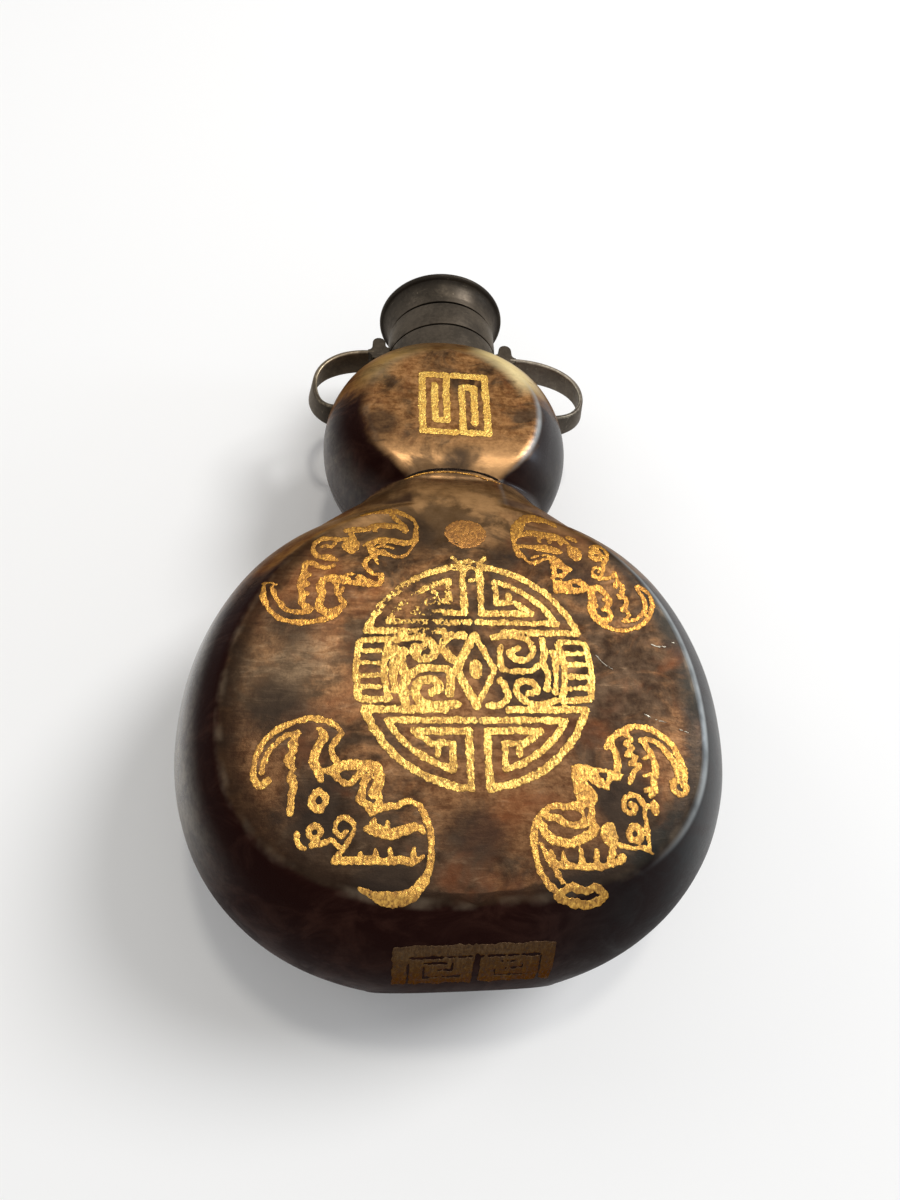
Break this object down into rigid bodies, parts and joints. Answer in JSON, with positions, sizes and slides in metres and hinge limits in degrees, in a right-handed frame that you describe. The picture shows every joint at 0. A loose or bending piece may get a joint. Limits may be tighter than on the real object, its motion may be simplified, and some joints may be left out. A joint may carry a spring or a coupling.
{
  "type": "double-gourd metal flask",
  "caption": "Flattened double-gourd flask of patinated bronze with gilt bats and a round fret on its face, a ringed flaring neck and ribbon handles; it lies on its back",
  "frame": {"origin": "centre of the footprint of the flask lying on its back: x = 0 on its middle line, y = 0 halfway from foot to mouth, z = 0 on the surface that it lies on", "axes": "+X across the flask, to the right as its face is seen with the mouth up; +Y along it from the foot to the mouth; +Z out of its front face"},
  "size_m": [0.1416, 0.211, 0.0648],
  "materials": {
    "front_patina": "mottled red-brown and charcoal patina over bronze, satin, with gilt ornament",
    "back_patina": "dark mottled patina over bronze, satin",
    "neck_bronze": "dark olive bronze, satin, worn bright at the rim",
    "handle_bronze": "dark olive bronze, satin, worn bright at the edges",
    "foot_bronze": "dark dull bronze"
  },
  "bodies": {
    "root": {"front_shell": "front_patina", "back_shell": "back_patina", "foot_plate": "foot_bronze", "neck_collar": "neck_bronze", "neck_band": "neck_bronze", "mouth_lip": "neck_bronze", "left_lug": "handle_bronze", "left_handle": "handle_bronze", "right_lug": "handle_bronze", "right_handle": "handle_bronze"}
  },
  "joints": []
}
